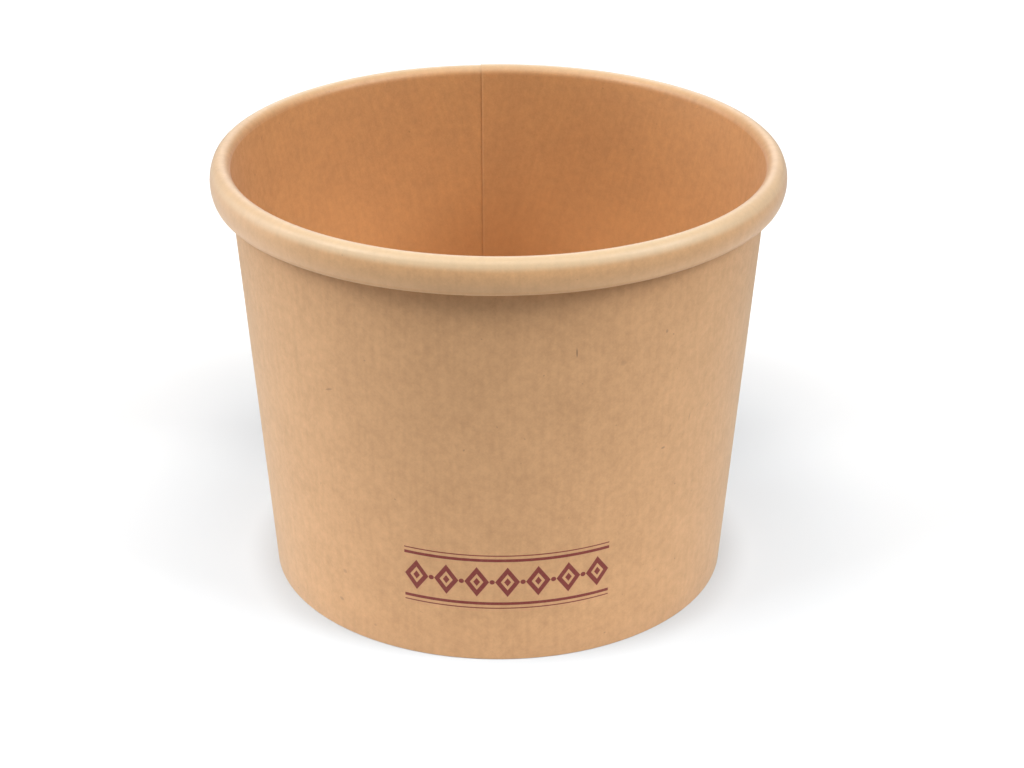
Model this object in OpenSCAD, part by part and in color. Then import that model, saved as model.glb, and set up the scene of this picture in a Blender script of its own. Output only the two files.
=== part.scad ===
// Paper soup cup: a rolled board wall with a lapped side seam, a curled rim and a folded foot,
// and a recessed base whose skirt is held in the fold. Millimetres, standing on z = 0, front at -Y.

/* [Cup] */
// Outside diameter over the curled rim
rim_d = 90; // [84:0.5:100]
// Outside diameter of the foot where it stands
foot_d = 74; // [68:0.5:78]
// Height over the rim
height = 70; // [55:1:120]

/* [Board] */
// Thickness of the wall's board
wall_t = 0.42; // [0.32:0.02:0.5]
// Thickness of the base's board
base_t = 0.36; // [0.28:0.02:0.46]
// Sealing line left between the base's skirt and the boards on both sides of it
seal = 0.02; // [0.01:0.01:0.05]

/* [Rim] */
// Width of the curl, from the inside of the wall to its outermost point
curl_w = 3.15; // [3:0.05:3.5]
// Height of the curl
curl_h = 5.7; // [5.3:0.1:6]
// Radius of the curl over its top
curl_top_r = 1.45; // [1.25:0.05:1.5]
// Radius of the curl's bulged outer face
curl_face_r = 3.9; // [3.7:0.1:6]
// Gap between the tucked edge and the wall
curl_gap = 0.12; // [0.08:0.01:0.2]
// Length of the tucked edge, up inside the curl
curl_tail = 2; // [0.6:0.1:2.4]

/* [Side seam] */
// Width of the lap
lap_w = 7; // [5:0.5:12]
// How far the lapped boards are pressed into one another
lap_press = 0.07; // [0.05:0.01:0.1]
// Direction of the lap's inner edge, counted from +X toward +Y
seam_angle = 94; // [0:1:359]

/* [Foot] */
// Height of the base's upper face over the table
base_rise = 8.5; // [8:0.5:14]
// Height of the wall's folded-in edge
hem_h = 6.4; // [4:0.2:6.6]
// Radius of the wall's two bends under the fold
fold_r = 0.25; // [0.15:0.05:0.3]
// Radius of the bend between the base and its skirt
base_r = 1; // [0.7:0.1:1.2]
// Room under the skirt's lower edge
skirt_room = 0.25; // [0.15:0.05:0.5]

/* [Hidden] */
$fn = 180;
// Slope of the wall, and what a thickness square to it measures along the radius
foot_r = foot_d / 2;
rim_r = rim_d / 2;
slope = (rim_r - curl_w + wall_t - foot_r) / height;
lean = atan(slope);
across = 1 / cos(lean);
// Step between the lapped boards. Two arcs ease the wall out by it: each turns through the angle whose
// cosine is 0.8, about an axis moved by 2.5 steps, so that they meet each other and the wall in tangents
step = round(100 * (wall_t * across - lap_press)) / 100;
ease = 2.5 * step;
ease_deg = round(1e4 * acos(0.8)) / 1e4;
lap_deg = round(100 * lap_w / rim_r * 180 / PI) / 100;
// Turn of the folded board, which ends just short of where the eased board has gained the full step
folded_deg = 286;
// Curl: arcs over the top, down the face and round below, each tangent to the next
top_c = [wall_in(height - curl_top_r) + curl_top_r * across, height - curl_top_r];
face_x = rim_r - curl_face_r;
face_c = [face_x, top_c[1] - sqrt(pow(curl_face_r - curl_top_r, 2) - pow(top_c[0] - face_x, 2))];
low_z = height - curl_h;
low_a = wall_out(low_z) + curl_gap * across - face_x;
low_k = slope + across;
low_b = low_a * low_k + low_z - face_c[1] + curl_face_r;
low_q = pow(low_a, 2) + pow(low_z - face_c[1], 2) - pow(curl_face_r, 2);
low_r = (sqrt(pow(low_b, 2) - pow(low_k, 2) * low_q) - low_b) / pow(low_k, 2);
low_c = [wall_out(low_z + low_r) + (low_r + curl_gap) * across, low_z + low_r];
top_turn = atan2(top_c[1] - face_c[1], top_c[0] - face_c[0]);
low_turn = atan2(low_c[1] - face_c[1], low_c[0] - face_c[0]);
tuck = curl_tail * [sin(lean), cos(lean)];
// Axes of the bends under the fold, and how far the eased wall's toe and the fold reach between them
wall_bend_r = wall_out(fold_r) - fold_r * across;
hem_bend_r = hem_in(fold_r) + fold_r * across;
toe_r = hem_bend_r + 0.03;
heel_r = wall_bend_r - 0.03;

// Radius of the wall's two faces and of the folded-in edge's two faces at a height
function wall_out(z) = foot_r + slope * z;
function wall_in(z) = wall_out(z) - wall_t * across;
function hem_out(z) = wall_in(z) - (base_t + 2 * seal) * across;
function hem_in(z) = hem_out(z) - wall_t * across;
function skirt_out(z) = wall_in(z) - seal * across;
function skirt_in(z) = skirt_out(z) - base_t * across;
// Points along an arc
function arc(c, r, a, b, n) = [for (i = [0:n]) let (t = a + (b - a) * i / n) c + r * [cos(t), sin(t)]];
// The curl seen from its tucked edge to the wall, on its outer side (in = 0) or its inner side (in = wall_t)
function curl(in) = concat(
    [low_c + (low_r - in) * [-cos(lean), sin(lean)] + tuck],
    arc(low_c, low_r - in, -180 - lean, low_turn, 20),
    arc(face_c, curl_face_r - in, low_turn, top_turn, 12),
    arc(top_c, curl_top_r - in, top_turn, 180 - lean, 20)
);
function back(list) = [for (i = [len(list) - 1:-1:0]) list[i]];
// The bends under the wall and under the folded-in edge
function wall_bend() = arc([wall_bend_r, fold_r], fold_r, -lean, -90, 6);
function hem_bend() = arc([hem_bend_r, fold_r], fold_r, -90, -180 - lean, 6);

// Sides of the folded-in edge, from the fold upward
function hem_face() = [[hem_out(wall_t), wall_t], [hem_out(hem_h), hem_h]];

// Board from the curl down to the fold and up inside it
module folded_section() {
    polygon(concat(
        curl(0),
        [[wall_in(wall_t), wall_t]],
        hem_face(),
        [[hem_in(hem_h), hem_h]],
        back(hem_bend()),
        back(wall_bend()),
        back(curl(wall_t))
    ));
}

// Board from the curl down to a toe that lies in the fold
module open_section() {
    polygon(concat(
        curl(0),
        [[wall_in(wall_t), wall_t], [toe_r, wall_t], [toe_r, 0]],
        back(wall_bend()),
        back(curl(wall_t))
    ));
}

// The fold and the folded-in edge by themselves
module hem_section() {
    polygon(concat(
        [[heel_r, 0], [heel_r, wall_t]],
        hem_face(),
        [[hem_in(hem_h), hem_h]],
        back(hem_bend())
    ));
}

// Base, its bend and its skirt
module base_section() {
    c = [skirt_out(base_rise - base_r) - base_r * across, base_rise - base_r];
    foot = wall_t + skirt_room;
    polygon(concat(
        [[0, base_rise]],
        arc(c, base_r, 90, -lean, 10),
        [[skirt_out(foot), foot], [skirt_in(foot), foot]],
        arc(c, base_r - base_t, -lean, 90, 10),
        [[0, base_rise - base_t]]
    ));
}

// Turns a section about an upright axis at the place given, the section moved out from that axis
module turned(from, sweep, at = [0, 0], out = 0) {
    translate([at[0], at[1], 0])
        rotate_extrude(start = from, angle = sweep)
            translate([out, 0])
                children();
}

// One blank of board: most of a turn, the part that eases out by the step, and the lap over its start
module side_wall() {
    color("#c9a071")
        rotate([0, 0, seam_angle])
            union() {
                turned(2 * ease_deg, folded_deg)
                    folded_section();
                turned(ease_deg, ease_deg, -ease * [0.28, 0.96], ease)
                    open_section();
                turned(0, ease_deg, [ease, 0], step - ease)
                    open_section();
                turned(2 * ease_deg + folded_deg - 360, 360 - folded_deg)
                    hem_section();
                turned(-lap_deg, lap_deg, [0, 0], step)
                    open_section();
                turned(-lap_deg, lap_deg, [0, 0], -step)
                    hem_section();
            }
}

module base_disc() {
    color("#c2986a")
        rotate_extrude()
            base_section();
}

side_wall();
base_disc();
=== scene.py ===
"""Paper soup cup of brown board: a wall with a curled rim, a lapped seam and a folded foot, and a base held in it."""

import bpy
import numpy as np
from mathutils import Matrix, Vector


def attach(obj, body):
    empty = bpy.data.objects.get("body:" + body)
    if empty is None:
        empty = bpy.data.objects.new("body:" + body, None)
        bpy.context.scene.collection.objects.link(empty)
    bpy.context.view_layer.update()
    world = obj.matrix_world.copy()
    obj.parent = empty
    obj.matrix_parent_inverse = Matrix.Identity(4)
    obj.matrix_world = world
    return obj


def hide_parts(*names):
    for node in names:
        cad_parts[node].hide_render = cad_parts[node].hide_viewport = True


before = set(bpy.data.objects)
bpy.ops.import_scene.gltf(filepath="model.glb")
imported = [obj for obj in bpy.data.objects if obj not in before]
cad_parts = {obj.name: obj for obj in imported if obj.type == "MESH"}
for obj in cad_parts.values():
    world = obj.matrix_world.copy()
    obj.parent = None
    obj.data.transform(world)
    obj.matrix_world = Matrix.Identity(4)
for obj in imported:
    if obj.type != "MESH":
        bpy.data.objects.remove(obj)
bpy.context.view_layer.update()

# Sizes of the cup in millimetres, as in the solids, but for a flatter face on the curl. The rim's radius, the
# height and the base's rise are a hair less, so that the boards stay inside the solids
MM = 0.001
RIM_R, FOOT_R, HEIGHT = 44.99, 37.0, 69.99
WALL_T, BASE_T, SEAL = 0.42, 0.36, 0.02
CURL_W, CURL_H, TOP_R, FACE_R, CURL_GAP, CURL_TAIL = 3.15, 5.7, 1.45, 5.2, 0.12, 2.0
LAP_W, SEAM = 7.0, np.radians(94.0)
BASE_RISE, HEM_H, FOLD_R, BASE_R, SKIRT_ROOM = 8.45, 6.4, 0.25, 1.0, 0.25
# Radius of the creases on the inner side of the fold, and how much wider than the seal the skirt's line is
CREASE_R, SKIRT_SLACK = 0.03, 0.01
# The lap's inner edge is skived thin, so that the board over it steps up only a little. Its outer edge is pressed
SKIVE_W, SKIVE, GLUE = 2.4, 0.82, 0.012
PRESS_W, PRESS = 1.2, 0.25
# Turns over which the wall eases out to the lap, and over which the two folds at the lap make room for each other
EASE, FOLD_EASE = np.radians(24.0), np.radians(9.0)
# At the lap's inner end the curl's tucked edge is short: its length, how much less it turns, and the turn it grows over
SHORT_TAIL, SHORT_TURN, SHORT_EASE = 0.12, np.radians(50.0), np.radians(5.0)
# Ribs pressed into the hem: how many, how deep, and the heights at which they begin and end, with their fade
RIBS, RIB_DEPTH, RIB_LOW, RIB_HIGH, RIB_FADE = 80, 0.17, 0.9, 5.7, 0.7
# How far the wall breathes, and how far the curl's lower edge hangs unevenly, tilts to one side and wavers
BREATH, HANG, TILT, WAVER = 0.32, 0.08, 0.22, 0.015
# How far uneven board stays inside the rim's radius and height
TRIM = 0.01
# How far the base sags in its middle and wavers at its edge, and the height from which it does
SAG, BASE_WAVER, SAG_FROM = 0.32, 0.012, 7.0
# Steps of the sweeps round the wall and round the base
WALL_STEPS, BASE_STEPS = 596, 288
FRONT = np.radians(-90.0)
FULL = 2.0 * np.pi
LAP = LAP_W / RIM_R
SLOPE = (RIM_R - CURL_W + WALL_T - FOOT_R) / HEIGHT
LEAN = np.arctan(SLOPE)
ACROSS = 1.0 / np.cos(LEAN)
# Way up the board from the foot to where the curl begins, and to the outer shoulder of its top
CURL_WAY = (HEIGHT - TOP_R) * ACROSS
SHOULDER_WAY = CURL_WAY + TOP_R * (np.pi - LEAN - np.radians(30.0))
# The flat blank's map counts in decimetres, so that its patterns read as so many to the decimetre
MAP_UNIT = 100.0
# Numbers of the finishes in each piece's list of materials
LINED, BARE, CUT, CURLED = range(4)


def smooth(x):
    """A soft step from 0 to 1: three x squared less two x cubed, held between its ends."""
    x = np.clip(x, 0.0, 1.0)
    return x * x * (3.0 - 2.0 * x)


def ripple(angle, seed, first, last):
    """A closed wave round the cup between -1 and 1: cosines of whole numbers of waves with seeded sizes and phases."""
    draw = np.random.default_rng(seed)
    waves = np.arange(first, last + 1)
    size = draw.uniform(0.4, 1.0, len(waves)) / np.sqrt(waves)
    phase = draw.uniform(0.0, FULL, len(waves))
    return np.cos(angle[..., None] * waves + phase) @ size / size.sum()


def wall_in(z):
    """Radius of the wall's inner face at a height: a cone through the foot's and the rim's radius."""
    return FOOT_R + SLOPE * z - WALL_T * ACROSS


def hem_out(z):
    """Radius of the hem's outer face at a height: the wall's cone, moved in by the base's skirt and its seals."""
    return wall_in(z) - (BASE_T + 2.0 * SEAL) * ACROSS


def skirt_out(z):
    """Radius of the base skirt's outer face at a height: the wall's cone, moved in by the seal and some slack."""
    return wall_in(z) - (SEAL + SKIRT_SLACK) * ACROSS


def curl_arcs():
    """Centres and radii of the curl's three arcs, each tangent to the next, and the turns at which they meet.

    The top arc touches the wall and the rim's height. The face arc touches the rim's radius and holds the top arc.
    The low arc touches the face arc from inside, the curl's lowest height and a line close to the wall.
    """
    top = np.array([wall_in(HEIGHT - TOP_R) + TOP_R * ACROSS, HEIGHT - TOP_R])
    face_x = RIM_R - FACE_R
    face = np.array([face_x, top[1] - np.sqrt((FACE_R - TOP_R) ** 2 - (top[0] - face_x) ** 2)])
    low_z = HEIGHT - CURL_H
    a = wall_in(low_z) + (WALL_T + CURL_GAP) * ACROSS - face_x
    k = SLOPE + ACROSS
    b = a * k + low_z - face[1] + FACE_R
    q = a**2 + (low_z - face[1]) ** 2 - FACE_R**2
    low_r = (np.sqrt(b**2 - k**2 * q) - b) / k**2
    low = np.array([wall_in(low_z + low_r) + (WALL_T + CURL_GAP + low_r) * ACROSS, low_z + low_r])
    top_turn, low_turn = (np.arctan2(c[1] - face[1], c[0] - face[0]) for c in (top, low))
    return top, face, low, low_r, low_turn, top_turn


TOP_C, FACE_C, LOW_C, LOW_R, LOW_TURN, TOP_TURN = curl_arcs()


def spread(a, b, count):
    """Evenly spaced values from a to b along the last axis, both ends in."""
    return a + (b - a) * np.linspace(0.0, 1.0, count)


def arc(centre, radius, turn):
    """Radius and height of points at the given turns on a circle about a centre."""
    return centre[0] + radius * np.cos(turn), centre[1] + radius * np.sin(turn)


def board_face(depth, floor, bend, tuck, tail):
    """Radius and height along one face of the board, from the tucked edge to the hem's edge, and three columns.

    The columns are those where the curl's face begins, where its top ends and where the foot's bend ends.

    The face runs from the tucked edge round the curl's three arcs, straight down the wall, round the fold's two
    bends and straight up the hem. depth is how far it lies outside the wall's inner face, square to the board, so
    on the curl it shortens the arcs' radii. Every argument is a column, with one row for each turn of the sweep.
    """
    zero = 0.0 * depth
    low = arc(LOW_C, LOW_R - depth, spread(tuck, LOW_TURN + zero, 13))
    back = spread(tail, zero, 3)[:, :-1]
    tucked = low[0][:, :1] + back * np.sin(tuck), low[1][:, :1] - back * np.cos(tuck)
    face = arc(FACE_C, FACE_R - depth, spread(LOW_TURN + zero, TOP_TURN, 11)[:, 1:])
    top = arc(TOP_C, TOP_R - depth, spread(TOP_TURN + zero, np.pi - LEAN, 18)[:, 1:])
    corner = floor + bend
    wall_middle = wall_in(corner) + (depth - bend) * ACROSS, corner
    wall_bend = arc(wall_middle, bend, spread(-LEAN + zero, -np.pi / 2, 5))
    hem_middle = hem_out(corner) - (depth - bend) * ACROSS, corner
    hem_bend = arc(hem_middle, bend, spread(-np.pi / 2 + zero, -np.pi - LEAN, 5))
    edge = hem_out(HEM_H) - depth * ACROSS, HEM_H + zero

    def straight(a, b, count):
        """Even points from the end of one part to the start of another, without those two."""
        return tuple(spread(a[n][:, -1:], b[n][:, :1], count)[:, 1:-1] for n in (0, 1))

    wall, sole, hem = straight(top, wall_bend, 18), straight(wall_bend, hem_bend, 4), straight(hem_bend, edge, 9)
    run = [tucked, low, face, top, wall, wall_bend, sole, hem_bend, hem, edge]
    columns = [sum(part[0].shape[1] for part in run[:n]) - 1 for n in (2, 4, 6)]
    return np.hstack([part[0] for part in run]), np.hstack([part[1] for part in run]), columns


def flat_place(angle, way):
    """Place on the flat blank: at a way up the board from the foot, on a ring about the centre of the blank's fan."""
    far = FOOT_R / np.sin(LEAN)
    fan = angle * np.sin(LEAN)
    return np.stack([(far + way) * np.sin(fan), (far + way) * np.cos(fan) - far], -1)


def path_length(r, z):
    """Length along each row of points from its first point."""
    return np.pad(np.cumsum(np.hypot(np.diff(r), np.diff(z)), axis=-1), [(0, 0)] * (r.ndim - 1) + [(1, 0)])


def inset(share):
    """A share of the baking map's width, kept clear of the map's borders."""
    return 0.01 + 0.98 * share


def put_mesh(name, points, faces, marks, maps, sharp):
    """A mesh object from points in millimetres, faces, a material number for each face and maps for each corner."""
    mesh = bpy.data.meshes.new(name)
    mesh.from_pydata(points * MM, [], faces)
    for label, corners in maps.items():
        layer = mesh.uv_layers.new(name=label, do_init=False)
        layer.uv.foreach_set("vector", corners.astype(np.float32).ravel())
    mesh.polygons.foreach_set("material_index", marks.astype(np.int32))
    mesh.polygons.foreach_set("use_smooth", np.ones(len(mesh.polygons), dtype=bool))
    mesh.set_sharp_from_angle(angle=np.radians(sharp))
    mesh.update()
    piece = bpy.data.objects.new(name, mesh)
    bpy.context.scene.collection.objects.link(piece)
    return piece


def make_wall():
    """One blank swept clockwise round the cup from the inner edge of its lap to the outer edge.

    Each column of the sweep holds the two faces of the board. The board's depth is nothing at the start, eases out
    towards the seam and follows the thickness of the board under it over the lap, so that the lap lies closed.
    """
    end = FULL + LAP
    # The steps are closer just before the seam, where the board comes up to the lap's edge
    close = FULL + np.linspace(-0.012, 0.0, 4)
    turn = np.unique(np.concatenate([np.linspace(0.0, end, WALL_STEPS), close]))[:, None]
    angle = SEAM - turn

    def skived(at):
        """Thickness of the board at a turn from the lap's inner edge: thin at the edge, whole past the skive."""
        return WALL_T * (1.0 - SKIVE * (1.0 - smooth(at * FOOT_R / SKIVE_W)))

    thick = skived(turn) * (1.0 - PRESS * smooth(1.0 - (end - turn) * FOOT_R / PRESS_W))
    easing = (skived(0.0) + GLUE) * smooth((turn - FULL + EASE) / EASE)
    depth = np.where(turn < FULL, easing, skived(turn - FULL) + GLUE)
    # At the lap the two folds share one board's thickness under the foot, and the inner one's tucked edge is short
    under = 1.0 - smooth((turn - LAP) / FOLD_EASE)
    over = smooth((turn - FULL + FOLD_EASE) / FOLD_EASE)
    short = 1.0 - smooth((turn - 1.1 * LAP) / SHORT_EASE)
    tuck = -np.pi - LEAN + SHORT_TURN * short
    tail = CURL_TAIL * (1.0 - short) + SHORT_TAIL * short
    same = 0.0 * turn
    lined_floor, bare_floor = WALL_T * (1.0 - 0.5 * over), 0.5 * WALL_T * under
    lined_r, lined_z, (face, curl, foot) = board_face(depth, lined_floor, CREASE_R + same, tuck, tail)
    bare_r, bare_z, _ = board_face(depth + thick, bare_floor, FOLD_R + same, tuck, tail)
    # The wheel that presses the fold leaves ribs on the hem
    hem = np.arange(lined_r.shape[1]) > foot + 3
    pressed = smooth((bare_z - RIB_LOW) / RIB_FADE) * smooth((RIB_HIGH - bare_z) / RIB_FADE) * hem
    bare_r = bare_r + RIB_DEPTH * pressed * (0.5 + 0.5 * np.cos(angle * RIBS))
    r = np.hstack([lined_r, bare_r[:, ::-1]])
    z = np.hstack([lined_z, bare_z[:, ::-1]])
    # Board is never quite round or level: the wall breathes a little, and the curl rises and falls
    share = np.clip(z / HEIGHT, 0.0, 1.0)
    r = r + BREATH * share * (1.0 - share) * ripple(angle, 3, 2, 7) - TRIM * share * (1.0 + ripple(angle, 5, 2, 5))
    curled = smooth(z - (HEIGHT - CURL_H - 1.0)) * smooth((r - wall_in(z) - 1.0) / 0.8)
    low = curled * smooth((HEIGHT - z) / CURL_H)
    hang = HANG * ripple(angle, 11, 3, 17) + TILT * np.cos(angle)
    z = z + low * hang - TRIM * share**8 * (1.0 + ripple(angle, 12, 2, 6))
    r = r - WAVER * curled * (1.0 + ripple(angle, 13, 6, 26))
    points = np.stack([r * np.cos(angle), r * np.sin(angle), z], -1).reshape(-1, 3)
    rows, loop = r.shape
    count = loop // 2
    i, j = (g.ravel() for g in np.meshgrid(np.arange(rows - 1), np.arange(loop), indexing="ij"))
    k = (j + 1) % loop
    skin = np.stack([i * loop + j, i * loop + k, (i + 1) * loop + k, (i + 1) * loop + j], -1)
    c = np.arange(count - 1)
    first = np.stack([c, loop - 1 - c, loop - 2 - c, c + 1], -1)
    last = (rows - 1) * loop + first[:, ::-1]
    quads = np.vstack([skin, first, last])
    hem_edge, tuck_edge = j == count - 1, j == loop - 1
    kinds = np.select([hem_edge | tuck_edge, (j >= face) & (j < curl), j < count], [CUT, CURLED, LINED], BARE)
    marks = np.concatenate([kinds, np.full(2 * len(c), CUT)])
    # Map of the flat blank, upright at the front
    way = path_length(lined_r, lined_z)
    way = way[:, foot, None] - way
    way = np.hstack([way, way[:, ::-1]])
    blank = flat_place(angle - FRONT, way) / MAP_UNIT
    # Map of the run: millimetres from the lap's inner edge by the shorter way round, and up the board from the foot
    whole = np.concatenate([np.where(turn[i, 0] > 0.5 * FULL, FULL, 0.0), np.zeros(len(c)), np.full(len(c), FULL)])
    from_lap = (np.broadcast_to(turn, r.shape).ravel()[quads] - whole[:, None]) * r.ravel()[quads]
    run = np.stack([from_lap, way.ravel()[quads]], -1)
    # Map for baking: bare face below, lined face above, and the cut edges in strips of their own
    high = (way - way.min()) / (way.max() - way.min())
    lined = np.arange(loop) < count
    round_share = np.where(lined, 1.0 - turn / end, turn / end)
    sheet = np.stack([inset(round_share), np.where(lined, 0.51, 0.03) + 0.44 * high], -1)
    bake = sheet.reshape(-1, 2)[quads]
    strip = np.array([0.0, 0.006, 0.006, 0.0])
    along = inset(turn[np.stack([i, i, i + 1, i + 1], -1), 0] / end)
    for cut, level in ((hem_edge, 0.965), (tuck_edge, 0.982)):
        bake[: len(skin)][cut] = np.stack([along[cut], np.broadcast_to(level + strip, along[cut].shape)], -1)
    step = inset(np.stack([c, c, c + 1, c + 1], -1) / count)
    bake[len(skin) : len(skin) + len(c)] = np.stack([step, np.broadcast_to(0.484 + strip, step.shape)], -1)
    bake[len(skin) + len(c) :] = np.stack([step[:, ::-1], np.broadcast_to(0.008 + strip, step.shape)], -1)
    maps = {"blank": blank.reshape(-1, 2)[quads], "run": run, "OFBake": bake}
    return put_mesh("side_wall_board", points, quads, marks, maps, 38.0)


def make_base():
    """A round blank turned about the cup's axis: flat with a slight sag, a bend at its edge and a skirt below it."""
    angle = np.linspace(0.0, FULL, BASE_STEPS, endpoint=False)[:, None]
    bend_z = BASE_RISE - BASE_R
    bend_r = skirt_out(bend_z) - BASE_R * ACROSS
    flat = np.linspace(0.0, bend_r, 34)[1:-1]
    turn = np.linspace(np.pi / 2, -LEAN, 12)
    down = np.array([WALL_T + SKIRT_ROOM + 3.0, WALL_T + SKIRT_ROOM])

    def face(depth):
        """Radius and height along a face at a depth in the board: across the flat, round the bend, down the skirt."""
        r = np.concatenate([flat, bend_r + (BASE_R - depth) * np.cos(turn), skirt_out(down) - depth * ACROSS])
        z = np.concatenate([0.0 * flat + BASE_RISE - depth, bend_z + (BASE_R - depth) * np.sin(turn), down])
        return r, z

    top, under = face(0.0), face(BASE_T)
    half = len(top[0])
    r = np.concatenate([top[0], under[0][::-1]])[None, :]
    z = np.concatenate([top[1], under[1][::-1]])[None, :]
    level = smooth(z - SAG_FROM)
    inward = 1.0 - np.clip(r / bend_r, 0.0, 1.0) ** 2
    sag = SAG * inward * (1.0 + 0.25 * ripple(angle, 21, 2, 4) * (r / bend_r))
    waver = BASE_WAVER * (1.0 - inward) * (1.0 + ripple(angle, 22, 3, 9))
    z = z - level * (sag + waver)
    r = np.broadcast_to(r, z.shape)
    points = np.stack([r * np.cos(angle), r * np.sin(angle), z], -1).reshape(-1, 3)
    rows, loop = r.shape
    poles = np.array([[0.0, 0.0, BASE_RISE - SAG], [0.0, 0.0, BASE_RISE - SAG - BASE_T]])
    i, j = (g.ravel() for g in np.meshgrid(np.arange(rows), np.arange(loop - 1), indexing="ij"))
    n = (i + 1) % rows
    skin = np.stack([i * loop + j, n * loop + j, n * loop + j + 1, i * loop + j + 1], -1)[:, ::-1]
    a = np.arange(rows)
    b = (a + 1) % rows
    top_fan = np.stack([np.full(rows, rows * loop), a * loop, b * loop], -1)
    low_fan = np.stack([np.full(rows, rows * loop + 1), b * loop + loop - 1, a * loop + loop - 1], -1)
    faces = skin.tolist() + top_fan.tolist() + low_fan.tolist()
    kinds = np.select([j == half - 1, j < half], [CUT, LINED], BARE)
    marks = np.concatenate([kinds, np.full(rows, LINED), np.full(rows, BARE)])
    # Map of the flat blank: the way along the board from its middle, in the point's own direction
    way = np.concatenate([top[0][0] + path_length(*top), (under[0][0] + path_length(*under))[::-1]])
    plan = np.stack([way * np.cos(angle), way * np.sin(angle)], -1).reshape(-1, 2)
    plan = np.vstack([plan, np.zeros((2, 2))])
    corners = np.concatenate([skin.ravel(), top_fan.ravel(), low_fan.ravel()])
    # Map for baking: the two faces side by side, and the skirt's cut edge in a strip
    upper = np.concatenate([np.repeat(j < half, 4), np.ones(3 * rows, bool), np.zeros(3 * rows, bool)])
    bake = plan[corners] / (way.max() * 2.04) * np.array([0.5, 0.94]) + np.array([0.25, 0.48])
    bake[~upper, 0] += 0.5
    cut = np.flatnonzero(np.repeat(j == half - 1, 4))
    wide = np.stack([a, a, a + 1, a + 1], -1).ravel() / rows
    bake[cut] = np.stack([inset(wide), np.tile(0.972 + np.array([0.012, 0.0, 0.0, 0.012]), rows)], -1)
    maps = {"blank": plan[corners] / MAP_UNIT, "OFBake": bake}
    return put_mesh("base_disc_board", np.vstack([points, poles]), faces, marks, maps, 40.0)


def put(tree, kind, inputs=None, **settings):
    """A shader node of a kind with its settings, and with its inputs set to values or linked to other nodes."""
    made = tree.nodes.new("ShaderNode" + kind)
    for key, value in settings.items():
        setattr(made, key, value)
    for key, value in (inputs or {}).items():
        if isinstance(value, bpy.types.NodeSocket):
            tree.links.new(value, made.inputs[key])
        else:
            made.inputs[key].default_value = value
    return made


def calc(tree, operation, *values):
    """Result of a sum on plain values."""
    return put(tree, "Math", dict(enumerate(values)), operation=operation).outputs[0]


def times(tree, first, *others):
    """Product of plain values, multiplied in turn."""
    for other in others:
        first = calc(tree, "MULTIPLY", first, other)
    return first


def shift(tree, operation, *values):
    """Result of a sum on places or directions."""
    return put(tree, "VectorMath", dict(enumerate(values)), operation=operation).outputs[0]


def distance(tree, place):
    """Length of the straight line from the origin to a place."""
    return put(tree, "VectorMath", {0: place}, operation="LENGTH").outputs["Value"]


def split(tree, place):
    """The three coordinates of a place."""
    return put(tree, "SeparateXYZ", {0: place}).outputs


def turned(tree, place, angle):
    """A place turned about the upright axis of its map."""
    return put(tree, "VectorRotate", {"Vector": place, "Angle": angle}, rotation_type="Z_AXIS").outputs[0]


def ease(tree, value, low, high, start=0.0, stop=1.0):
    """A value taken from start to stop by a soft step between low and high."""
    inputs = {"Value": value, "From Min": low, "From Max": high, "To Min": start, "To Max": stop}
    return put(tree, "MapRange", inputs, interpolation_type="SMOOTHSTEP").outputs["Result"]


def band(tree, value, low, high, soft):
    """1 where a value lies between low and high and 0 elsewhere, with soft steps just inside the two."""
    return times(tree, ease(tree, value, low, low + soft), ease(tree, value, high, high - soft))


def clouds(tree, place, scale, detail=2.0, roughness=0.5):
    """Cloudy noise over a flat map, from 0 to 1."""
    inputs = {"Vector": place, "Scale": scale, "Detail": detail, "Roughness": roughness}
    return put(tree, "TexNoise", inputs, noise_dimensions="2D").outputs[0]


def blend(tree, share, a, b):
    """A mix of two colours: a where the share is 0 and b where it is 1."""
    return put(tree, "Mix", {0: share, 6: a, 7: b}, data_type="RGBA").outputs[2]


def shader_group(name, inputs, outputs):
    """An empty group of shader nodes with named sockets, and its two end nodes."""
    tree = bpy.data.node_groups.new(name, "ShaderNodeTree")
    for label, kind in inputs.items():
        tree.interface.new_socket(name=label, in_out="INPUT", socket_type="NodeSocket" + kind)
    for label in outputs:
        tree.interface.new_socket(name=label, in_out="OUTPUT", socket_type="NodeSocketFloat")
    return tree, tree.nodes.new("NodeGroupInput").outputs, tree.nodes.new("NodeGroupOutput").inputs


def use_group(tree, name, inputs):
    """Outputs of a group of shader nodes, with its inputs set or linked."""
    return put(tree, "Group", inputs, node_tree=bpy.data.node_groups[name]).outputs


def oval_reach(tree, place, half_wide, half_long):
    """How far out a place lies in an oval about the origin: 0 in its middle and 1 on its edge."""
    part = split(tree, place)
    wide, long = calc(tree, "DIVIDE", part[0], half_wide), calc(tree, "DIVIDE", part[1], half_long)
    return calc(tree, "SQRT", calc(tree, "ADD", times(tree, wide, wide), times(tree, long, long)))


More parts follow.
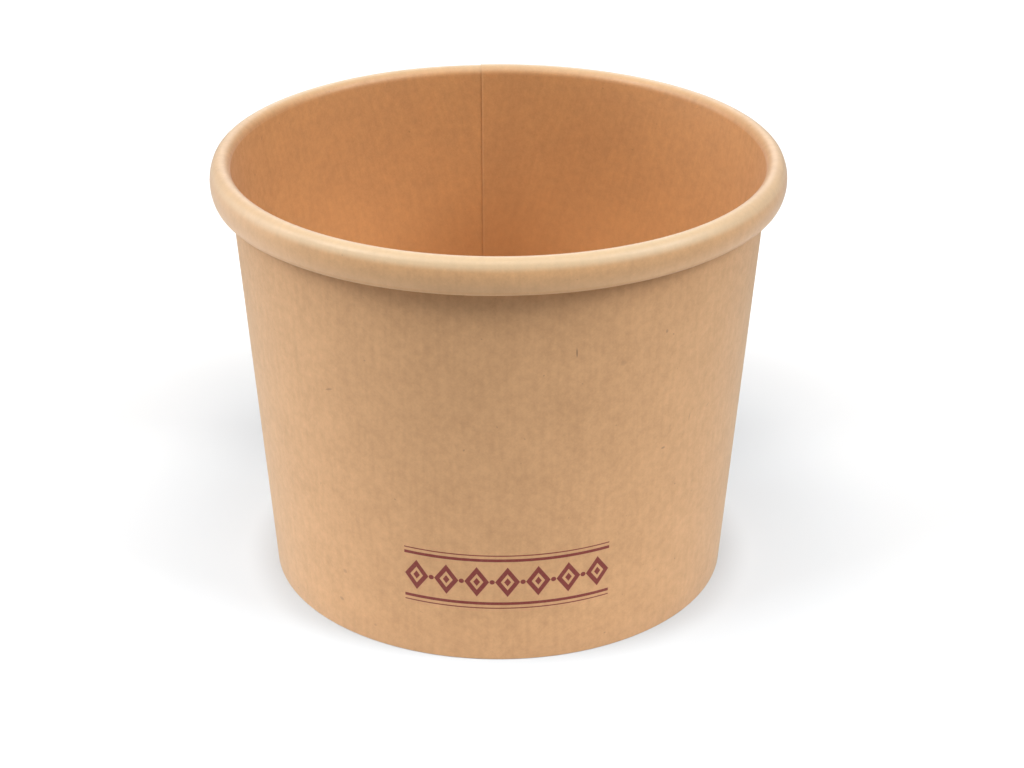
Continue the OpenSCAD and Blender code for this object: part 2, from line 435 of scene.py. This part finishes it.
def scattered_flecks():
    """Flecks strewn over the board: one long spot in a share of the cells, each turned and sized by its cell."""
    inputs = {"Place": "Vector", "Cells": "Float", "Share": "Float", "Half Width": "Float", "Half Length": "Float"}
    tree, given, result = shader_group("board_flecks", inputs, ["Mask"])
    cell = put(tree, "TexVoronoi", {"Vector": given["Place"], "Scale": given["Cells"]}, voronoi_dimensions="2D")
    chance = put(tree, "SeparateColor", {0: cell.outputs["Color"]}).outputs
    inside = shift(tree, "SUBTRACT", given["Place"], cell.outputs["Position"])
    size = calc(tree, "ADD", chance[2], 0.4)
    half_wide, half_long = times(tree, given["Half Width"], size), times(tree, given["Half Length"], size)
    reach = oval_reach(tree, turned(tree, inside, times(tree, chance[0], FULL)), half_wide, half_long)
    there = calc(tree, "LESS_THAN", chance[1], given["Share"])
    strength = calc(tree, "MULTIPLY_ADD", chance[2], 0.6, 0.4)
    tree.links.new(times(tree, ease(tree, reach, 1.2, 0.5), there, strength), result["Mask"])
    return tree


def board_grain():
    """Tone, relief and flecks of brown board on its flat map: cloudy and fine mottling, upright streaks and fibres."""
    tree, given, result = shader_group("board_grain", {"Place": "Vector"}, ["Tone", "Relief", "Fleck"])
    place = given["Place"]
    cloud = clouds(tree, place, 15.0, 2.0, 0.5)
    askew = turned(tree, place, 0.62)
    mottle = clouds(tree, askew, 72.0, 2.0, 0.6)
    fine = clouds(tree, askew, 300.0, 1.0, 0.6)
    streak = clouds(tree, shift(tree, "MULTIPLY", place, (1.0, 0.09, 1.0)), 130.0, 1.0, 0.5)
    # Threads lie along the lines where a noise crosses its middle, within the paler streaks
    off_middle = calc(tree, "ABSOLUTE", calc(tree, "SUBTRACT", clouds(tree, place, 95.0, 0.0), 0.5))
    thread = times(tree, ease(tree, off_middle, 0.022, 0.004), ease(tree, streak, 0.52, 0.66))
    tone = 0.5
    for part, weight in ((cloud, 0.48), (mottle, 0.74), (fine, 0.34), (streak, 0.34)):
        tone = calc(tree, "ADD", tone, times(tree, calc(tree, "SUBTRACT", part, 0.5), weight))
    tone = calc(tree, "SUBTRACT", tone, times(tree, thread, 0.08))
    tree.links.new(calc(tree, "MINIMUM", calc(tree, "MAXIMUM", tone, 0.0), 1.0), result["Tone"])
    tree.links.new(calc(tree, "ADD", times(tree, fine, 0.5), mottle), result["Relief"])
    # Long flecks and small round ones: cells to the decimetre, share of cells, half width and half length
    flecks = []
    for cells, share, half_w, half_l in ((14.0, 0.07, 0.0012, 0.0062), (48.0, 0.04, 0.0011, 0.0017)):
        inputs = {"Place": place, "Cells": cells, "Share": share, "Half Width": half_w, "Half Length": half_l}
        flecks.append(use_group(tree, "board_flecks", inputs)["Mask"])
    tree.links.new(calc(tree, "MAXIMUM", *flecks), result["Fleck"])
    return tree


def single_fleck():
    """One fleck at a given place on the map, with a half width, a half length and a turn."""
    inputs = {"Place": "Vector", "Middle": "Vector", "Half Width": "Float", "Half Length": "Float", "Turn": "Float"}
    tree, given, result = shader_group("single_fleck", inputs, ["Mask"])
    inside = turned(tree, shift(tree, "SUBTRACT", given["Place"], given["Middle"]), given["Turn"])
    reach = oval_reach(tree, inside, given["Half Width"], given["Half Length"])
    tree.links.new(ease(tree, reach, 1.25, 0.35), result["Mask"])
    return tree


FLECK_BROWN = (0.20, 0.095, 0.04, 1.0)
BORDER_RED = (0.195, 0.004, 0.001, 1.0)


def board_material(name, tints, offset, roughness, relief, fleck, curl_tints=None):
    """A board finish: a dark and a pale tint mixed by the grain, flecks over them, and roughness and relief from it.

    Where tints for the curl are given, they take over where the board is stretched round it. Returns the material,
    its tree, the colour so far, which is the shader's until another is linked, and the shader.
    """
    material = bpy.data.materials.new(name)
    material.use_nodes = True
    tree = material.node_tree
    shader = tree.nodes["Principled BSDF"]
    flat = put(tree, "UVMap", uv_map="blank").outputs[0]
    grain = use_group(tree, "board_grain", {"Place": shift(tree, "ADD", flat, (*offset, 0.0))})
    dark, pale = ((*tint, 1.0) for tint in tints)
    if curl_tints:
        up = split(tree, put(tree, "UVMap", uv_map="run").outputs[0])[1]
        stretched = ease(tree, up, CURL_WAY - 0.9, CURL_WAY + 2.0)
        dark, pale = (blend(tree, stretched, tint, (*other, 1.0)) for tint, other in zip((dark, pale), curl_tints))
    colour = blend(tree, grain["Tone"], dark, pale)
    colour = blend(tree, times(tree, grain["Fleck"], fleck), colour, FLECK_BROWN)
    tree.links.new(colour, shader.inputs["Base Color"])
    tree.links.new(ease(tree, grain["Tone"], 0.2, 0.8, *roughness), shader.inputs["Roughness"])
    bump = put(tree, "Bump", {"Strength": relief, "Distance": 0.00006, "Height": grain["Relief"]})
    tree.links.new(bump.outputs[0], shader.inputs["Normal"])
    shader.inputs["Specular IOR Level"].default_value = 0.5
    return material, tree, colour, shader


def bare_board():
    """Outside of the wall: uncoated board with a printed border of lozenges between rules, and a few larger flecks."""
    tints = (0.525, 0.283, 0.125), (0.715, 0.396, 0.180)
    material, tree, colour, shader = board_material("bare_board", tints, (0.0, 0.0), (0.74, 0.60), 0.5, 0.42)
    shader.inputs["Sheen Weight"].default_value = 0.43
    shader.inputs["Sheen Tint"].default_value = (0.95, 0.99, 0.88, 1.0)
    shader.inputs["Sheen Roughness"].default_value = 0.5
    flat = put(tree, "UVMap", uv_map="blank").outputs[0]
    # Larger flecks: degrees round from the front, height, half width and half length in millimetres, turn and strength
    spots = (
        (16.0, 53.2, 0.13, 0.80, -0.04, 0.75),
        (39.0, 33.4, 0.44, 0.20, 0.05, 0.55),
        (-41.0, 5.6, 0.50, 0.34, 0.2, 0.45),
        (-39.0, 11.2, 0.42, 0.40, 0.9, 0.32),
        (37.0, 53.6, 0.26, 0.36, 0.0, 0.45),
        (26.5, 50.2, 0.55, 0.50, 0.4, 0.20),
        (-31.0, 3.0, 0.30, 0.26, 0.0, 0.25),
    )
    for degrees, height, half_w, half_l, turn, weight in spots:
        middle = (*flat_place(np.radians(degrees), height * ACROSS) / MAP_UNIT, 0.0)
        sizes = {"Half Width": half_w / MAP_UNIT, "Half Length": half_l / MAP_UNIT, "Turn": turn}
        mask = use_group(tree, "single_fleck", {"Place": flat, "Middle": middle, **sizes})["Mask"]
        colour = blend(tree, times(tree, mask, weight), colour, FLECK_BROWN)
    colour = blend(tree, printed_border(tree, flat), colour, BORDER_RED)
    tree.links.new(colour, shader.inputs["Base Color"])
    return material


def printed_border(tree, flat):
    """Mask of the ink: hollow lozenges in a row with dots between them, framed by a thick and a thin rule each side.

    All sizes are in decimetres on the flat blank.
    """
    middle_x, middle_y = 0.014, 0.143
    pitch, half_wide, half_tall = 0.047, 0.0190, 0.0270
    part = split(tree, flat)
    x = calc(tree, "SUBTRACT", part[0], middle_x)
    y = calc(tree, "ABSOLUTE", calc(tree, "SUBTRACT", part[1], middle_y))
    # Distance along the row from the nearest lozenge's middle
    cell = calc(tree, "FRACT", calc(tree, "ADD", calc(tree, "DIVIDE", x, pitch), 0.5))
    dx = calc(tree, "ABSOLUTE", times(tree, calc(tree, "SUBTRACT", cell, 0.5), pitch))
    lozenge = calc(tree, "ADD", calc(tree, "DIVIDE", dx, half_wide), calc(tree, "DIVIDE", y, half_tall))
    ring = band(tree, lozenge, 0.52, 1.02, 0.04)
    core = ease(tree, lozenge, 0.30, 0.26)
    gap = calc(tree, "SUBTRACT", pitch / 2.0, dx)
    from_gap = calc(tree, "SQRT", calc(tree, "ADD", times(tree, gap, gap), times(tree, y, y)))
    dot = ease(tree, from_gap, 0.0043, 0.0038)
    thick = band(tree, y, 0.0366, 0.0422, 0.0004)
    thin = band(tree, y, 0.0466, 0.0490, 0.0004)
    aside = calc(tree, "ABSOLUTE", x)
    marks = calc(tree, "MAXIMUM", calc(tree, "MAXIMUM", ring, core), dot)
    row = times(tree, marks, calc(tree, "LESS_THAN", aside, 3.42 * pitch))
    rules = times(tree, calc(tree, "MAXIMUM", thick, thin), ease(tree, aside, 0.1607, 0.1603))
    worn = ease(tree, clouds(tree, flat, 210.0, 1.0, 0.6), 0.28, 0.46, 0.955, 1.0)
    return times(tree, calc(tree, "MAXIMUM", row, rules), worn)


def lined_board(name, sheen):
    """Coated face of the wall: its inside and the outside of the curl, paler where the curl stretches it.

    It also has the seam's line. The stretched fibres of the curl stand up and catch more of the light that grazes
    them, so the curl's finish has more sheen.
    """
    tints = (0.458, 0.224, 0.084), (0.624, 0.310, 0.118)
    curl_tints = (0.524, 0.292, 0.131), (0.709, 0.408, 0.188)
    material, tree, colour, shader = board_material(name, tints, (3.7, 1.9), (0.56, 0.44), 0.35, 0.36, curl_tints)
    shader.inputs["Sheen Weight"].default_value = sheen
    shader.inputs["Sheen Roughness"].default_value = 0.5
    shader.inputs["Coat Roughness"].default_value = 0.4
    from_lap, up, _ = split(tree, put(tree, "UVMap", uv_map="run").outputs[0])
    # Lower down the lining is painted paler: painted light, brightening the deep inside of the cup
    colour = blend(tree, ease(tree, up, 60.0, 26.0, 0.0, 0.48), colour, (0.80, 0.41, 0.155, 1.0))
    # The inner board of the lap is a shade darker. Where it ends, a dark line is painted shade in the crease beside its
    # edge, and a pale line on the edge is a painted highlight
    lap = times(tree, ease(tree, from_lap, -0.02, 0.05), ease(tree, from_lap, LAP_W + 0.4, LAP_W - 0.6))
    line = times(tree, ease(tree, from_lap, -0.75, -0.12), ease(tree, from_lap, 0.08, -0.02))
    lap_edge_highlight = times(tree, ease(tree, from_lap, 0.02, 0.08), ease(tree, from_lap, 0.42, 0.16))
    colour = blend(tree, times(tree, lap, 0.09), colour, (0.40, 0.185, 0.070, 1.0))
    colour = blend(tree, times(tree, line, 0.06), colour, (0.20, 0.085, 0.03, 1.0))
    colour = blend(tree, times(tree, lap_edge_highlight, 0.14), colour, (0.80, 0.50, 0.28, 1.0))
    # Painted highlight: the top of the curl is paler where the lamps' gloss falls on it
    past = calc(tree, "SUBTRACT", up, SHOULDER_WAY)
    painted_top_highlight = times(tree, ease(tree, past, -3.8, -1.45), ease(tree, past, 0.95, -0.1))
    # Round the cup's sides, as the camera sees them, the painted highlight on the top is weaker, and painted light and
    # reflection make the curl's face paler, most on the left
    aside = calc(tree, "ABSOLUTE", from_lap)
    side = times(tree, ease(tree, aside, 118.0, 76.0), ease(tree, aside, 30.0, 55.0))
    painted_top_highlight = times(tree, painted_top_highlight, calc(tree, "MULTIPLY_ADD", side, -0.22, 0.48))
    colour = blend(tree, painted_top_highlight, colour, (0.76, 0.640, 0.430, 1.0))
    painted_side_light = times(tree, side, ease(tree, from_lap, 30.0, -30.0, 0.17, 0.33), ease(tree, past, -1.6, -0.1))
    colour = blend(tree, painted_side_light, colour, (0.97, 0.70, 0.45, 1.0))
    # Lower on the curl's face the colour is paler
    colour = blend(tree, ease(tree, past, 1.6, 4.6, 0.0, 0.45), colour, (0.88, 0.505, 0.215, 1.0))
    tree.links.new(colour, shader.inputs["Base Color"])
    tree.links.new(ease(tree, past, -3.1, -1.9, 0.0, 0.2), shader.inputs["Coat Weight"])
    return material


scattered_flecks()
board_grain()
single_fleck()
wall = make_wall()
base = make_base()
# The cut edges have open fibres, darker and rougher than the faces
edge = board_material("cut_edge", ((0.30, 0.155, 0.070), (0.52, 0.30, 0.155)), (5.1, 8.3), (0.92, 0.82), 0.8, 0.3)[0]
for finish_of_wall in (lined_board("lined_board", 0.14), bare_board(), edge, lined_board("curled_board", 0.42)):
    wall.data.materials.append(finish_of_wall)
# The faces of the base's blank, their grain running straight across the disc
for name, tints, offset, roughness in (
    ("base_lined_board", ((0.53, 0.265, 0.103), (0.73, 0.385, 0.158)), (12.4, 2.2), (0.58, 0.46)),
    ("base_bare_board", ((0.48, 0.26, 0.125), (0.71, 0.425, 0.232)), (15.6, 6.7), (0.76, 0.64)),
):
    base.data.materials.append(board_material(name, tints, offset, roughness, 0.4, 0.6)[0])
base.data.materials.append(edge)

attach(wall, "root")
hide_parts("side_wall")
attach(base, "root")
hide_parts("base_disc")

# Camera at the photograph's place and angle, its focal length and sideways shift counted in the picture's pixels
PICTURE_W, FOCAL, SIDEWAYS = 1024.0, 2330.0, 13.6
CAMERA_DIP = 0.4494
camera_data = bpy.data.cameras.new("camera")
camera_data.sensor_width = 36.0
camera_data.lens = FOCAL * camera_data.sensor_width / PICTURE_W
camera_data.shift_x = SIDEWAYS / PICTURE_W
camera = bpy.data.objects.new("camera", camera_data)
camera.location = (0.0, -0.3433, 0.1951)
camera.rotation_euler = (np.pi / 2 - CAMERA_DIP, 0.0, 0.0)
bpy.context.scene.collection.objects.link(camera)
bpy.context.scene.camera = camera

# Side of the soft boxes, their distance from the cup and the height that they aim at, in metres
BOX_SIDE, BOX_FAR, BOX_AIM = 1.5, 3.0, 0.03


def soft_box(name, bearing, rise, power):
    """A square soft box aimed at the cup, at a bearing from the camera's side and a rise, in degrees."""
    bearing, rise = np.radians(bearing), np.radians(rise)
    way = Vector((np.cos(rise) * np.sin(bearing), -np.cos(rise) * np.cos(bearing), np.sin(rise)))
    data = bpy.data.lights.new(name, "AREA")
    data.size = BOX_SIDE
    data.energy = power
    lamp = bpy.data.objects.new(name, data)
    lamp.location = BOX_FAR * way + Vector((0.0, 0.0, BOX_AIM))
    lamp.rotation_euler = way.to_track_quat("Z", "Y").to_euler()
    bpy.context.scene.collection.objects.link(lamp)


soft_box("left_box", 290.0, 43.0, 63.0)
soft_box("left_side_box", 258.0, 17.0, 32.0)
soft_box("right_box", 70.0, 37.0, 75.0)
soft_box("front_box", 0.0, 65.0, 29.5)
soft_box("back_box", 180.0, 28.0, 15.0)

WHITE = (1.0, 1.0, 1.0, 1.0)
ROOM_LIGHT = 0.03


def make_world():
    """A dim even room that the camera sees as white."""
    world = bpy.data.worlds.new("studio")
    world.use_nodes = True
    tree = world.node_tree
    seen = put(tree, "LightPath").outputs["Is Camera Ray"]
    tree.links.new(calc(tree, "MAXIMUM", seen, ROOM_LIGHT), tree.nodes["Background"].inputs["Strength"])
    tree.nodes["Background"].inputs["Color"].default_value = WHITE
    return world


def make_floor():
    """A wide pale floor. To the camera its own light lifts it to white, and the cup's shadow stays on it."""
    mesh = bpy.data.meshes.new("floor")
    mesh.from_pydata([(-6, -6, 0), (6, -6, 0), (6, 6, 0), (-6, 6, 0)], [], [(0, 1, 2, 3)])
    floor = bpy.data.objects.new("floor", mesh)
    bpy.context.scene.collection.objects.link(floor)
    paint = bpy.data.materials.new("floor_white")
    paint.use_nodes = True
    tree = paint.node_tree
    shader = tree.nodes["Principled BSDF"]
    seen = put(tree, "LightPath").outputs["Is Camera Ray"]
    # Other rays see a white sheet round the cup that ends on a dark bench
    place = put(tree, "TexCoord").outputs["Object"]
    far = distance(tree, place)
    ground = blend(tree, ease(tree, far, 0.11, 0.27), (0.68, 0.68, 0.68, 1.0), (0.08, 0.08, 0.08, 1.0))
    # Seen straight, it is cooler by the cup, where the board throws warm light on it
    sheet = blend(tree, ease(tree, far, 0.040, 0.095), (0.470, 0.505, 0.535, 1.0), (0.50, 0.50, 0.50, 1.0))
    tree.links.new(blend(tree, seen, ground, sheet), shader.inputs["Base Color"])
    shader.inputs["Roughness"].default_value = 1.0
    shader.inputs["Specular IOR Level"].default_value = 0.0
    shader.inputs["Emission Color"].default_value = WHITE
    # Its own light fades towards the foot and behind the cup, where the cup keeps the room's light off it
    lift = calc(tree, "ADD", ease(tree, far, 0.036, 0.043, 0.22, 0.39), ease(tree, far, 0.043, 0.078, 0.0, 0.15))
    oval = shift(tree, "MULTIPLY", shift(tree, "SUBTRACT", place, (0.0, 0.066, 0.0)), (0.85, 1.5, 1.0))
    lift = calc(tree, "SUBTRACT", lift, ease(tree, distance(tree, oval), 0.078, 0.025, 0.0, 0.26))
    tree.links.new(times(tree, seen, lift), shader.inputs["Emission Strength"])
    mesh.materials.append(paint)
    return floor


bpy.context.scene.world = make_world()
make_floor()

bpy.context.scene.view_settings.view_transform = "Standard"
